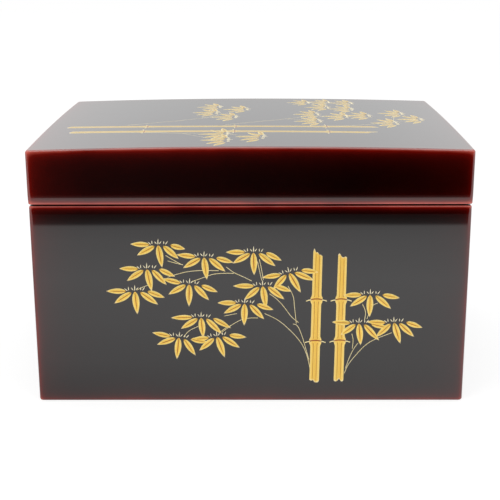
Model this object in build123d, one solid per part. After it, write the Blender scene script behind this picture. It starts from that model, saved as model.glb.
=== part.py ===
"""Lacquered tea ceremony box: a joined wooden body, a cover lid with a low crown, and a hanging tray.

Frame: +Z up, the front faces -Y, the length runs along X. The origin is the centre of the underside.
All sizes are millimetres. The pieces come in five groups:

* the body: four mitred boards on a pegged bottom board, with feather keys across the corners;
* the lip and the rails: thin boards inside the rim that locate the lid, and the ledges below them;
* the lid: four mitred boards under a crowned top board, keyed and pegged as the body is;
* the tray: four mitred walls grooved round a bottom board, keyed at the corners.

The lid stands on the body's rim and lifts off the lip. The tray stands on the rails and lifts out.
"""

import os

from build123d import *

# Outer sizes of the closed box
lid_length = 218.0  # X, over the lid's outer faces
lid_depth = 166.5  # Y, over the lid's outer faces
body_height = 104.0  # from the underside to the rim, where the lid stands
lid_height = 26.5  # from the rim to the lid's top corners
lid_overhang = 0.3  # how far the lid stands out past the body, each side
crown_radius = 3430.0  # the lid's top is part of a sphere this large

# Boards
body_wall = 6.0
bottom_thickness = 5.0
top_thickness = 6.0  # of the lid's top board, at its corners
panel_step = 1.5  # how far the top and bottom boards reach in between the side boards
panel_clearance = 0.1  # round that step

# Rounded edges
plan_radius = 2.0  # upright corners of the lid and the body
edge_radius = 1.3  # the long outer edges
seam_radius = 1.0  # where the lid and the body meet
inner_radius = 0.6  # the edges of the lip, the tray and the lid's mouth

# The lip inside the rim, and the rails below it
lip_thickness = 3.0
lip_rise = 9.0  # above the rim
lip_depth = 16.0  # below the rim, down to the rails
lip_play = 0.5  # between the lip and the lid's inner faces, each side
rail_ledge = 4.0  # how far a rail stands in past the lip
rail_height = 6.0

# The tray
tray_wall = 4.0
tray_stand = 3.0  # how far the tray stands above the lip, for the fingers
tray_floor = 3.0
tray_play = 0.8  # between the tray and the lip, each side
tray_recess = 1.0  # from the tray's underside up to its bottom board
tray_plan_radius = 1.5
groove_depth = 1.8  # of the groove that holds the tray's bottom board

# Feather keys let into saw cuts across the mitred corners
key_thickness = 1.6
key_cover = 2.0  # board left between a key and the inner corner
body_keys_per_corner = 3
lid_keys_per_corner = 1
tray_keys_per_corner = 1

# Bamboo pegs that hold the top and bottom boards on the side boards
peg_radius = 1.1
peg_bite = 10.0  # length of a peg inside the side board
peg_glue_line = 0.05
peg_corner_distance = 18.0  # from a corner to the nearest peg
long_side_pegs = 5
short_side_pegs = 3

SIDES = ("front", "right", "back", "left")
CUT_PAST = 5.0  # how far a cutting solid runs past what it cuts
SAME_LEVEL = 0.001  # how near in height two edges are that lie in one plane

# Sizes that follow from the values above
body_length = lid_length - 2 * lid_overhang
body_depth = lid_depth - 2 * lid_overhang
hold_length = body_length - 2 * body_wall  # inside the body's boards
hold_depth = body_depth - 2 * body_wall
lid_wall = body_wall + lid_overhang - lip_play
lid_hold_length = lid_length - 2 * lid_wall  # inside the lid's boards
lid_hold_depth = lid_depth - 2 * lid_wall
lip_hold_length = hold_length - 2 * lip_thickness  # inside the lip
lip_hold_depth = hold_depth - 2 * lip_thickness
lip_top = body_height + lip_rise
rail_top = body_height - lip_depth
lid_corner_height = body_height + lid_height
lid_board_top = lid_corner_height - top_thickness
tray_length = lip_hold_length - 2 * tray_play
tray_depth = lip_hold_depth - 2 * tray_play
tray_top = lip_top + tray_stand
tray_hold_length = tray_length - 2 * tray_wall  # inside the tray's walls
tray_hold_depth = tray_depth - 2 * tray_wall
tray_board_low = rail_top + tray_recess


def rectangle_corners(length, depth):
    """The plan corners of a rectangle, from the front left one anticlockwise."""
    x, y = length / 2, depth / 2
    return [(-x, -y), (x, -y), (x, y), (-x, y)]


def block(length, depth, low, high):
    """An upright block centred on the box's axis, from one height to another."""
    return Pos(0, 0, low) * Box(length, depth, high - low, align=(Align.CENTER, Align.CENTER, Align.MIN))


def rounded_block(length, depth, low, high, corner):
    """A block whose upright corners are rounded."""
    plan = Pos(0, 0, low) * RectangleRounded(length, depth, corner)
    return extrude(plan, high - low)


def edges_at(shape, height):
    """The edges of a shape that are centred in the level plane at a height."""
    return shape.edges().filter_by_position(Axis.Z, height - SAME_LEVEL, height + SAME_LEVEL)


def mouth_edges(shape, height, length, depth):
    """The edges of a shape's opening of a given size, in the level plane at a height."""
    reach_x, reach_y = length / 2 + SAME_LEVEL, depth / 2 + SAME_LEVEL
    return [
        edge
        for edge in edges_at(shape, height)
        if abs(edge.center().X) <= reach_x and abs(edge.center().Y) <= reach_y
    ]


def mitred_plans(length, depth, wall, low, high):
    """Four prisms that divide a ring of boards at 45 degrees at its corners, by side."""
    outer = rectangle_corners(length, depth)
    inner = rectangle_corners(length - 2 * wall, depth - 2 * wall)
    prisms = {}
    for index, side in enumerate(SIDES):
        following = (index + 1) % len(SIDES)
        outline = Polyline(outer[index], outer[following], inner[following], inner[index], close=True)
        prisms[side] = extrude(Pos(0, 0, low) * make_face(outline), high - low)
    return prisms


def key_plates(length, depth, wall, low, high, per_corner):
    """Triangular plates across the corners of a ring of boards, evenly spaced in its height."""
    leg = 2 * (wall - key_cover)
    spacing = (high - low) / (per_corner + 1)
    plates = []
    for x, y in rectangle_corners(length, depth):
        along_x = (x - leg if x > 0 else x + leg, y)
        along_y = (x, y - leg if y > 0 else y + leg)
        outline = Polyline((x, y), along_x, along_y, close=True)
        for level in range(1, per_corner + 1):
            base = low + level * spacing - key_thickness / 2
            plates.append(extrude(Pos(0, 0, base) * make_face(outline), key_thickness))
    return plates


def evenly(span, count):
    """A count of places over a span, centred on zero."""
    if count < 2:
        return [0.0]
    return [span * (step / (count - 1) - 0.5) for step in range(count)]


def peg_places(length, depth, wall):
    """Plan places of the pegs, at the middle of each board's thickness."""
    x_edge, y_edge = (length - wall) / 2, (depth - wall) / 2
    along_x = evenly(length - 2 * peg_corner_distance, long_side_pegs)
    along_y = evenly(depth - 2 * peg_corner_distance, short_side_pegs)
    places = [(x, y) for x in along_x for y in (-y_edge, y_edge)]
    return places + [(x, y) for y in along_y for x in (-x_edge, x_edge)]


def pins(places, radius, low, high):
    """Upright pins at plan places, from one height to another."""
    pin = Pos(0, 0, low) * Cylinder(radius, high - low, align=(Align.CENTER, Align.CENTER, Align.MIN))
    return [Pos(x, y, 0) * pin for x, y in places]


def body_envelope():
    """The outer form of the body: a block with every outer edge rounded."""
    form = rounded_block(body_length, body_depth, 0, body_height, plan_radius)
    form = fillet(edges_at(form, 0), edge_radius)
    return fillet(edges_at(form, body_height), seam_radius)


def lid_envelope():
    """The outer form of the lid: a rounded block under a large sphere, with its edges rounded."""
    corner_reach = ((lid_length / 2) ** 2 + (lid_depth / 2) ** 2) ** 0.5
    centre_depth = (crown_radius**2 - corner_reach**2) ** 0.5
    crown_rise = crown_radius - centre_depth
    summit = lid_corner_height + crown_rise + CUT_PAST
    form = rounded_block(lid_length, lid_depth, body_height, summit, plan_radius)
    # The sphere is turned so that neither its poles nor its seam crosses the lid
    ball = Rot(0, 90, 0) * Rot(90, 0, 0) * Sphere(crown_radius)
    form = form & (Pos(0, 0, lid_corner_height - centre_depth) * ball)
    form = fillet(edges_at(form, body_height), seam_radius)
    return fillet(form.faces().sort_by(Axis.Z)[-1].edges(), edge_radius)


def divided(ring, prisms, cuts):
    """A ring of boards divided at its mitres, less the cuts for its keys and pegs."""
    return {side: (ring & prism) - cuts for side, prism in prisms.items()}


def make_body():
    """The body's four boards, its bottom board, and the keys and pegs that hold them."""
    envelope = body_envelope()
    plates = key_plates(
        body_length, body_depth, body_wall, bottom_thickness, body_height, body_keys_per_corner
    )
    places = peg_places(body_length, body_depth, body_wall)
    peg_end = bottom_thickness + peg_bite
    holes = pins(places, peg_radius + peg_glue_line, 0, peg_end)
    ring = envelope & block(body_length, body_depth, bottom_thickness, body_height)
    ring = ring - block(hold_length, hold_depth, bottom_thickness, body_height)
    prisms = mitred_plans(body_length, body_depth, body_wall, bottom_thickness, body_height)
    boards = divided(ring, prisms, plates + holes)
    step = block(
        hold_length - 2 * panel_clearance,
        hold_depth - 2 * panel_clearance,
        bottom_thickness,
        bottom_thickness + panel_step,
    )
    bottom = (envelope & block(body_length, body_depth, 0, bottom_thickness)) + step
    pieces = {f"body_{side}_board": board for side, board in boards.items()}
    pieces["body_bottom_board"] = bottom - holes
    pieces["body_corner_keys"] = Compound([envelope & plate for plate in plates])
    pieces["body_bottom_pegs"] = Compound(pins(places, peg_radius, 0, peg_end))
    return pieces


def make_lip():
    """The four thin boards inside the rim, with eased upper edges."""
    ring = block(hold_length, hold_depth, rail_top, lip_top)
    ring = fillet(edges_at(ring, lip_top), inner_radius)
    ring = ring - block(lip_hold_length, lip_hold_depth, rail_top, lip_top)
    ring = fillet(mouth_edges(ring, lip_top, lip_hold_length, lip_hold_depth), inner_radius)
    prisms = mitred_plans(hold_length, hold_depth, lip_thickness, rail_top, lip_top)
    return {f"lip_{side}_board": ring & prism for side, prism in prisms.items()}


def make_rails():
    """The four ledges under the lip: two over the whole length, and two between them."""
    width = lip_thickness + rail_ledge
    size_x, size_y = hold_length, hold_depth - 2 * width
    long_rail = block(size_x, width, rail_top - rail_height, rail_top)
    short_rail = block(width, size_y, rail_top - rail_height, rail_top)
    y_place, x_place = (hold_depth - width) / 2, (hold_length - width) / 2
    return {
        "rail_front": Pos(0, -y_place, 0) * long_rail,
        "rail_back": Pos(0, y_place, 0) * long_rail,
        "rail_left": Pos(-x_place, 0, 0) * short_rail,
        "rail_right": Pos(x_place, 0, 0) * short_rail,
    }


def make_lid():
    """The lid's four boards, its crowned top board, and the keys and pegs that hold them."""
    envelope = lid_envelope()
    summit = envelope.bounding_box().max.Z + CUT_PAST
    plates = key_plates(lid_length, lid_depth, lid_wall, body_height, lid_board_top, lid_keys_per_corner)
    places = peg_places(lid_length, lid_depth, lid_wall)
    peg_end = lid_board_top - peg_bite
    holes = pins(places, peg_radius + peg_glue_line, peg_end, summit)
    ring = envelope & block(lid_length, lid_depth, body_height, lid_board_top)
    ring = ring - block(lid_hold_length, lid_hold_depth, body_height, lid_board_top)
    ring = fillet(mouth_edges(ring, body_height, lid_hold_length, lid_hold_depth), inner_radius)
    prisms = mitred_plans(lid_length, lid_depth, lid_wall, body_height, lid_board_top)
    boards = divided(ring, prisms, plates + holes)
    step = block(
        lid_hold_length - 2 * panel_clearance,
        lid_hold_depth - 2 * panel_clearance,
        lid_board_top - panel_step,
        lid_board_top,
    )
    top = (envelope & block(lid_length, lid_depth, lid_board_top, summit)) + step
    pegs = [pin & envelope for pin in pins(places, peg_radius, peg_end, summit)]
    pieces = {f"lid_{side}_board": board for side, board in boards.items()}
    pieces["lid_top_board"] = top - holes
    pieces["lid_corner_keys"] = Compound([envelope & plate for plate in plates])
    pieces["lid_top_pegs"] = Compound(pegs)
    return pieces


def make_tray():
    """The tray's four walls, the bottom board in their groove, and the corner keys."""
    form = rounded_block(tray_length, tray_depth, rail_top, tray_top, tray_plan_radius)
    form = fillet(edges_at(form, tray_top), inner_radius)
    plates = key_plates(tray_length, tray_depth, tray_wall, tray_board_low, tray_top, tray_keys_per_corner)
    bottom = block(
        tray_hold_length + 2 * groove_depth,
        tray_hold_depth + 2 * groove_depth,
        tray_board_low,
        tray_board_low + tray_floor,
    )
    ring = form - block(tray_hold_length, tray_hold_depth, rail_top, tray_top)
    ring = fillet(mouth_edges(ring, tray_top, tray_hold_length, tray_hold_depth), inner_radius)
    prisms = mitred_plans(tray_length, tray_depth, tray_wall, rail_top, tray_top)
    walls = divided(ring, prisms, plates + [bottom])
    pieces = {f"tray_{side}_wall": wall for side, wall in walls.items()}
    pieces["tray_bottom_board"] = bottom
    pieces["tray_corner_keys"] = Compound([form & plate for plate in plates])
    return pieces


def main():
    """Writes one STEP file for each piece, or group of like pieces."""
    os.makedirs("parts", exist_ok=True)
    pieces = {**make_body(), **make_lip(), **make_rails(), **make_lid(), **make_tray()}
    for name, piece in pieces.items():
        export_step(piece, f"parts/{name}.step")


main()
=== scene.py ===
"""The looks of a lacquered tea ceremony box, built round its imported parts.

The box is joined from boards, but no joint shows on the real one: coats of urushi lacquer cover the body,
the lid and the tray each in one skin. So each of them is a closed shell here that stands for its boards,
keys and pegs. The outside is tamenuri, a dark clear lacquer over red that glows through at the arrises.
The inside is black. Bamboo in sprinkled gold stands a little proud of the front and of the lid.
"""

import logging
import math
import random
from dataclasses import dataclass, replace
from enum import Enum, IntEnum
from functools import partial
from itertools import product
from typing import Callable, Iterable, Optional, Sequence

import bpy
from bpy.types import ID, Material, Mesh, Node, NodeSocket, NodeTree, Object
from mathutils import Matrix, Vector


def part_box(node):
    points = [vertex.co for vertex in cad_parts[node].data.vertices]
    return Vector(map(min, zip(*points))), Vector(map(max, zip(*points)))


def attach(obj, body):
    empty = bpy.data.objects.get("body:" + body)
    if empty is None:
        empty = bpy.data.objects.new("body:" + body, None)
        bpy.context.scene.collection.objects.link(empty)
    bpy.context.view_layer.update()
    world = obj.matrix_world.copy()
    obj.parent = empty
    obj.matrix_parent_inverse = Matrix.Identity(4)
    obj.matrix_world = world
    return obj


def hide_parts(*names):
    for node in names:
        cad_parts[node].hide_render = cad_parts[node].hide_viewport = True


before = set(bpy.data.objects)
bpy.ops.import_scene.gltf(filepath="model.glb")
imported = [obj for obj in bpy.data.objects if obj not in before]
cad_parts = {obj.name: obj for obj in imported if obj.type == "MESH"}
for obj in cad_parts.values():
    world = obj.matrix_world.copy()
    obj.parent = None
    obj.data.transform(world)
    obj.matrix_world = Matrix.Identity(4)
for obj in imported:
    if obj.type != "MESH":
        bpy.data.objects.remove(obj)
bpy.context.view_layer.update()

log = logging.getLogger("tea_box")

MM = 0.001
SIDES = ("front", "right", "back", "left")

Pair = tuple[float, float]
Point = Pair
Point3 = tuple[float, float, float]
AddNode = Callable[..., Node]


# ---- Small tools ----


def linear(hex_colour: str) -> tuple[float, float, float, float]:
    """Turns an sRGB hex colour into linear light.

    Args:
        hex_colour: the colour, such as "#C21E08".

    Returns:
        Red, green, blue and alpha, for a colour socket.
    """
    channels = [int(hex_colour[place : place + 2], 16) / 255 for place in (1, 3, 5)]
    red, green, blue = (c / 12.92 if c <= 0.04045 else ((c + 0.055) / 1.055) ** 2.4 for c in channels)
    return red, green, blue, 1.0


def add_node(tree: NodeTree, kind: str, inputs: Optional[dict] = None, **settings: object) -> Node:
    """Adds a node to a tree, with its settings and its links.

    Args:
        tree: the material's, world's or geometry's node tree.
        kind: the node's type without its first words, such as "Math" for "ShaderNodeMath".
        inputs: the name or number of a socket, to a plain value, to a socket that is linked in, or to
            a node whose first output in use is linked in. A name stands for the socket in use.
        **settings: attributes that are set on the node first, such as operation="ADD".

    Returns:
        The new node.
    """
    families = ("ShaderNode", "GeometryNode", "Node")
    family = next(words for words in families if hasattr(bpy.types, words + kind))
    node = tree.nodes.new(family + kind)
    for name, value in settings.items():
        setattr(node, name, value)
    in_use = {socket.name: socket for socket in node.inputs if socket.enabled}
    for key, value in (inputs or {}).items():
        socket = in_use[key] if isinstance(key, str) else node.inputs[key]
        if isinstance(value, Node):
            value = next(output for output in value.outputs if output.enabled)
        if isinstance(value, NodeSocket):
            tree.links.new(value, socket)
        else:
            socket.default_value = value
    return node


def new_material(name: str) -> tuple[Material, AddNode]:
    """Makes an empty node material.

    Args:
        name: the real material's name.

    Returns:
        The material, and the call that adds a node to it.
    """
    material = bpy.data.materials.new(name)
    material.use_nodes = True
    material.node_tree.nodes.clear()
    return material, partial(add_node, material.node_tree)


def new_mesh(
    name: str, points: Sequence[Point3], edges: Sequence[tuple] = (), faces: Sequence[tuple] = (),
    **values: Sequence[float],
) -> Mesh:
    """Makes a smooth mesh.

    Args:
        name: its name.
        points: its places.
        edges: pairs of points, by number.
        faces: rings of points, by number.
        **values: attributes by name, with a value for each point.

    Returns:
        The mesh.
    """
    mesh = bpy.data.meshes.new(name)
    mesh.from_pydata(points, edges, faces)
    mesh.polygons.foreach_set("use_smooth", [True] * len(faces))
    for attribute, column in values.items():
        mesh.attributes.new(attribute, "FLOAT", "POINT").data.foreach_set("value", column)
    return mesh


def new_object(name: str, data: ID) -> Object:
    """Puts a mesh, camera or light into the scene.

    Args:
        name: the object's name.
        data: what it shows.

    Returns:
        The object, at the origin.
    """
    made = bpy.data.objects.new(name, data)
    bpy.context.scene.collection.objects.link(made)
    return made


def named(pattern: str) -> list[str]:
    """The names of four boards, from a pattern with a gap for the side."""
    return [pattern.format(side) for side in SIDES]


def stand_in(piece: Object, body: str, nodes: Iterable[str]) -> Object:
    """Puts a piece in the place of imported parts.

    Args:
        piece: the piece.
        body: the body that it rides on.
        nodes: the names of the parts.

    Returns:
        The piece.
    """
    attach(piece, body)
    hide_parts(*nodes)
    return piece


# ---- Finishes ----


@dataclass(frozen=True)
class Reach:
    """The outer faces of a lacquered piece, from which its lacquer works out how near an arris is."""

    half_length: float
    half_depth: float
    low: float
    high: float
    seam: float  # the height at which lid and body meet
    crown: float = 0.0  # half the curvature of the top, and 0 for a flat one


@dataclass(frozen=True)
class Glow:
    """How the red coat shows near a face's arrises: a sharp line, and a softer glow behind it."""

    line: float
    line_width: float
    soft: float
    soft_width: float


@dataclass(frozen=True)
class TamenuriLacquer:
    """Tamenuri: brown-black clear urushi over a red coat, rubbed and polished to a mirror.

    The dark coat is thick on the flats, where it looks black, and thin at the arrises, where the red
    shows as a bright line. A softer glow reaches inwards from each edge. A painted highlight lies
    on the arris itself, and a thin band at the seam between lid and body gets no red: painted shade.
    """

    ends: Glow = Glow(0.24, 0.8 * MM, 0.078, 12.0 * MM)
    sides: Glow = Glow(0.36, 0.7 * MM, 0.05, 8.0 * MM)
    top: Glow = Glow(0.15, 0.9 * MM, 0.11, 3.6 * MM)
    foot: Glow = Glow(0.31, 1.0 * MM, 0.05, 2.2 * MM)
    lean: float = 0.4  # how much more the left end glows than the right one
    haze: float = 0.006  # the red that shows through the thick coat
    dark: str = "#020101"
    red: str = "#C41C0C"
    worn: str = "#E0806E"  # a painted highlight on the arris itself, pinkish where the red share is highest
    ior: float = 1.70
    roughness: float = 0.03
    worn_from: float = 0.2  # the share of red at which the painted highlight starts
    worn_full: float = 0.8
    worn_most: float = 0.55
    skin_width: float = 1.0 * MM  # a place this near a face belongs to it
    # The red is left out this near the seam: painted shade in the groove between lid and body
    groove_width: float = 0.12 * MM
    patch_size: float = 24.0 * MM  # the glow comes and goes over about this length
    uneven: float = 0.25  # by this share
    wave_size: float = 85.0 * MM  # long, low waves that rubbing by hand leaves
    wave_height: float = 0.05 * MM

    def material(self, name: str, reach: Reach) -> Material:
        """Makes the lacquer for one piece.

        Args:
            name: the material's name.
            reach: the piece's outer faces.

        Returns:
            The material.
        """
        material, add = new_material(name)
        place = add("TexCoord").outputs["Object"]
        glow = self._glow(add, place, reach)
        wear = {
            "Value": glow, "From Min": self.worn_from, "From Max": self.worn_full, "To Max": self.worn_most,
        }
        colour = linear(self.dark)
        # Over the red lies a painted highlight: pinkish on the arrises, where the red share is high
        for share, paint in ((glow, self.red), (add("MapRange", wear), self.worn)):
            colour = add("Mix", {"Factor": share, "A": colour, "B": linear(paint)}, data_type="RGBA")
        waves = add("TexNoise", {"Vector": place, "Scale": 1 / self.wave_size, "Detail": 1.0})
        bump = add("Bump", {"Height": waves, "Distance": self.wave_height})
        coat = {"Base Color": colour, "Roughness": self.roughness, "IOR": self.ior, "Normal": bump}
        add("OutputMaterial", {"Surface": add("BsdfPrincipled", coat)})
        return material

    def _glow(self, add: AddNode, place: NodeSocket, reach: Reach) -> Node:
        """Adds the share of red at each place: the glow of each face, seen on the faces next to it.

        Args:
            add: adds a node to the material.
            place: the place, in the object's own coordinates.
            reach: the piece's outer faces.

        Returns:
            The node that gives the share.
        """
        known = {axis.name: axis for axis in add("SeparateXYZ", {0: place}).outputs}
        known["leaning"] = add("MapRange", {
            "Value": known["X"], "From Min": -reach.half_length, "From Max": reach.half_length,
            "To Min": 1 + self.lean, "To Max": 1 - self.lean,
        })
        patches = add("TexNoise", {"Vector": place, "Scale": 1 / self.patch_size, "Detail": 2.0})
        known["uneven"] = add("MapRange", {
            "Value": patches, "From Min": 0.3, "From Max": 0.7,
            "To Min": 1 - self.uneven, "To Max": 1 + self.uneven,
        })
        # Each sum has its name, its operation and its terms, which are numbers or names known by then
        sums = [
            ("across", "ABSOLUTE", "X"), ("deep", "ABSOLUTE", "Y"),
            ("out", "MULTIPLY", "X", "X"), ("out", "MULTIPLY_ADD", "Y", "Y", "out"),
            ("height", "MULTIPLY_ADD", "out", reach.crown, "Z"),
            ("end", "SUBTRACT", reach.half_length, "across"), ("side", "SUBTRACT", reach.half_depth, "deep"),
            ("top", "SUBTRACT", reach.high, "height"), ("foot", "SUBTRACT", "Z", reach.low),
        ]
        for face, glow in (("end", self.ends), ("side", self.sides), ("top", self.top), ("foot", self.foot)):
            for part, width, strength in (
                ("skin", self.skin_width, 1.0), ("line", glow.line_width, glow.line),
                ("glow", glow.soft_width, glow.soft),
            ):
                share = f"{face} {part}"
                sums += [(share, "MULTIPLY", face, -1 / width), (share, "EXPONENT", share)]
                sums.append((share, "MULTIPLY", share, strength))
            sums.append((f"{face} glow", "ADD", f"{face} line", f"{face} glow"))
        sums += [
            ("end glow", "MULTIPLY", "end glow", "leaning"), ("total", "MULTIPLY", "leaning", self.haze),
            ("level skin", "ADD", "top skin", "foot skin"), ("level glow", "ADD", "top glow", "foot glow"),
        ]
        for on, of in product(("side", "end", "level"), ("end", "side", "level")):
            if on != of:
                sums.append(("total", "MULTIPLY_ADD", f"{on} skin", f"{of} glow", "total"))
        sums += [
            ("total", "MULTIPLY", "total", "uneven"),
            # Painted shade: no red at the seam, so the groove between lid and body stays dark
            ("groove", "COMPARE", "Z", reach.seam, self.groove_width),
            ("open", "SUBTRACT", 1.0, "groove"), ("total", "MULTIPLY", "total", "open"),
        ]
        for name, operation, *terms in sums:
            inputs = {index: known.get(term, term) for index, term in enumerate(terms)}
            known[name] = add("Math", inputs, operation=operation)
        known["total"].use_clamp = True
        return known["total"]


@dataclass(frozen=True)
class BlackLacquer:
    """Kuro-nuri: black urushi, brushed on and left as it dried, so a little less clear than the outside."""

    colour: str = "#0B0A0A"
    bloom: str = "#1A1716"  # where the coat is a touch thinner
    ior: float = 1.54
    roughness: float = 0.12
    patch_size: float = 30.0 * MM
    uneven: float = 0.3  # how much the gloss differs from patch to patch, as a share
    brush_size: float = 6.0 * MM
    brush_height: float = 0.006 * MM

    def material(self, name: str) -> Material:
        """Makes the lacquer.

        Args:
            name: the material's name.

        Returns:
            The material.
        """
        material, add = new_material(name)
        place = add("TexCoord").outputs["Object"]
        patches = add("TexNoise", {"Vector": place, "Scale": 1 / self.patch_size, "Detail": 4.0})
        mixed = {"Factor": patches, "A": linear(self.colour), "B": linear(self.bloom)}
        colour = add("Mix", mixed, data_type="RGBA")
        least, most = ((1 + side * self.uneven) * self.roughness for side in (-1, 1))
        gloss = {"Value": patches, "To Min": least, "To Max": most}
        strokes = add("TexNoise", {"Vector": place, "Scale": 1 / self.brush_size, "Detail": 1.0})
        bump = add("Bump", {"Height": strokes, "Distance": self.brush_height})
        coat = {"Base Color": colour, "Roughness": add("MapRange", gloss), "IOR": self.ior, "Normal": bump}
        add("OutputMaterial", {"Surface": add("BsdfPrincipled", coat)})
        return material


class GoldWork(Enum):
    """The kinds of gold work on the box, by what is drawn."""

    LEAF = "leaf"
    CULM = "culm"
    LINE = "line"


@dataclass(frozen=True)
class SprinkledGold:
    """Maki-e gold: gold powder sprinkled on low relief in wet lacquer, then burnished with a tooth.

    The middle of a form is full yellow gold, its rim is paler where the powder lies thickest, and the
    ribs, strips and outlines are drawn in red-brown lacquer. A thin clear coat over it all takes the
    light at a low angle, so the gold on the lid looks paler than that on the front.
    """

    name: str = "sprinkled_gold"
    gold: str = "#F2C442"
    deep: str = "#DC9C30"  # where the powder of a culm lies thin
    pale: str = "#FAE290"
    white: str = "#F6EAC6"  # of twigs and threads, a single layer of pale powder
    drawn: str = "#963C00"
    metallic: float = 0.30
    roughness: float = 0.42
    coat: float = 0.4
    coat_roughness: float = 0.2
    grain_size: float = 0.35 * MM  # the powder is finer, and this is as fine as a picture shows
    grain_height: float = 0.02 * MM
    grain_strength: float = 0.6
    grain_tones: Pair = (0.88, 1.1)  # how dark and how bright single grains are
    tone_size: float = 5.0 * MM
    tone_share: float = 0.3  # how far one place is paler than another
    lanes: float = 5.0  # how fast the streaks of a culm change across it

    def material(self, work: GoldWork) -> Material:
        """Makes the gold for one kind of work.

        Args:
            work: what is drawn with it.

        Returns:
            The material. It reads the attributes "across", "along" and "shade" of the relief.
        """
        material, add = new_material(f"{self.name}_{work.value}")
        place = add("TexCoord").outputs["Object"]
        tones = add("TexNoise", {"Vector": place, "Scale": 1 / self.tone_size, "Detail": 3.0})
        grain = add("TexNoise", {"Vector": place, "Scale": 1 / self.grain_size, "Detail": 1.0})
        if work is GoldWork.LINE:
            colour, layers = linear(self.pale), [(tones, self.white)]
        else:
            colour, layers = linear(self.gold), self._layers(add, tones, work)
        for share, paint in layers:
            colour = add("Mix", {"Factor": share, "A": colour, "B": linear(paint)}, data_type="RGBA")
        dark, bright = self.grain_tones
        speckle = {"Value": grain, "From Min": 0.3, "From Max": 0.7, "To Min": dark, "To Max": bright}
        speckled = {"Factor": 1.0, "A": colour, "B": add("MapRange", speckle)}
        relief = {"Height": grain, "Distance": self.grain_height, "Strength": self.grain_strength}
        coat = {
            "Base Color": add("Mix", speckled, data_type="RGBA", blend_type="MULTIPLY"),
            "Metallic": self.metallic, "Roughness": self.roughness,
            "Normal": add("Bump", relief),
            "Coat Weight": self.coat, "Coat Roughness": self.coat_roughness,
        }
        add("OutputMaterial", {"Surface": add("BsdfPrincipled", coat)})
        return material

    def _layers(self, add: AddNode, tones: Node, work: GoldWork) -> list[tuple[Node, str]]:
        """Adds what lies over the gold: its pale rim, and its drawn red-brown lines.

        Args:
            add: adds a node to the material.
            tones: the noise that makes one place yellower than another.
            work: leaf or culm.

        Returns:
            Each layer's share and colour, the lowest layer first.
        """
        across, along, shade = (
            add("Attribute", attribute_name=name).outputs["Fac"] for name in ("across", "along", "shade")
        )
        side = add("Math", {0: across}, operation="ABSOLUTE")
        # What each share goes by, where it starts and where it is full, and how much that is
        if work is GoldWork.LEAF:
            over = (("rim", self.pale), ("tip", self.white), ("twig", self.white))
            fades = {
                "rim": (side, 0.5, 0.8, 1.0),
                "tip": (along, 0.8, 1.0, 0.8),
                "twig": (shade, 0.2, 0.1, 1.0),  # a twig has no shade, and is white all over
                "rib": (side, 0.17, 0.1, 1.0),
                "rib end": (along, 0.86, 0.66, 1.0),
                "outline": (side, 0.88, 0.97, 0.8),
            }
        else:
            lane = add("Math", {0: across, 1: self.lanes, 2: tones}, operation="MULTIPLY_ADD")
            streaks = add("TexNoise", {"W": lane, "Scale": 1.0, "Detail": 2.0}, noise_dimensions="1D")
            over = (("thin", self.deep), ("rim", self.pale), ("tip", self.white))
            fades = {
                "thin": (streaks, 0.42, 0.65, 0.4),  # the powder lies in streaks along the culm
                "rim": (side, 0.5, 0.8, 0.55),
                "tip": (along, -0.2, -0.9, 0.85),  # at both ends
                "lines": (along, 0.2, 0.8, 1.0),
            }
        shares = {
            name: add("MapRange", {"Value": value, "From Min": start, "From Max": full, "To Max": most})
            for name, (value, start, full, most) in fades.items()
        }
        if work is GoldWork.LEAF:
            rib = add("Math", {0: shares["rib"], 1: shares["rib end"]}, operation="MULTIPLY")
            shares["lines"] = add("Math", {0: rib, 1: shares["outline"]}, operation="MAXIMUM")
        paler = add("Math", {0: tones, 1: self.tone_share}, operation="MULTIPLY")
        lines = add("Math", {0: shares["lines"], 1: shade}, operation="MULTIPLY", use_clamp=True)
        return [(paler, self.pale), *((shares[name], paint) for name, paint in over), (lines, self.drawn)]


# ---- Lacquered shells ----


class Coat(IntEnum):
    """Which coat covers a stretch of a shell's section, as the number of its material slot."""

    OUTER = 0
    INNER = 1


@dataclass(frozen=True)
class Turn:
    """A corner of a shell's section: how far in from the outer face it is, how high, and how rounded."""

    inset: float
    height: float
    radius: float = 0.0
    coat: Coat = Coat.OUTER  # of the stretch that starts here
    crowned: bool = False  # the height follows the crown


@dataclass(frozen=True)
class Station:
    """One loop of a shell: its inset and height, and which way its surface faces, outwards and upwards."""

    inset: float
    height: float
    out: float
    up: float
    coat: Coat
    crowned: bool


@dataclass(frozen=True)
class Crown:
    """A low crown, part of a large sphere, that is level with the plan's corners at zero."""

    radius: float
    half_length: float
    half_depth: float

    def rise(self, x: float, y: float) -> float:
        """How far the crown stands above the corners at a place."""
        corner = self.half_length**2 + self.half_depth**2
        return math.sqrt(self.radius**2 - x * x - y * y) - math.sqrt(self.radius**2 - corner)

    def normal(self, x: float, y: float) -> Vector:
        """Which way the crown faces at a place."""
        return Vector((x, y, math.sqrt(self.radius**2 - x * x - y * y))) / self.radius


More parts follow.
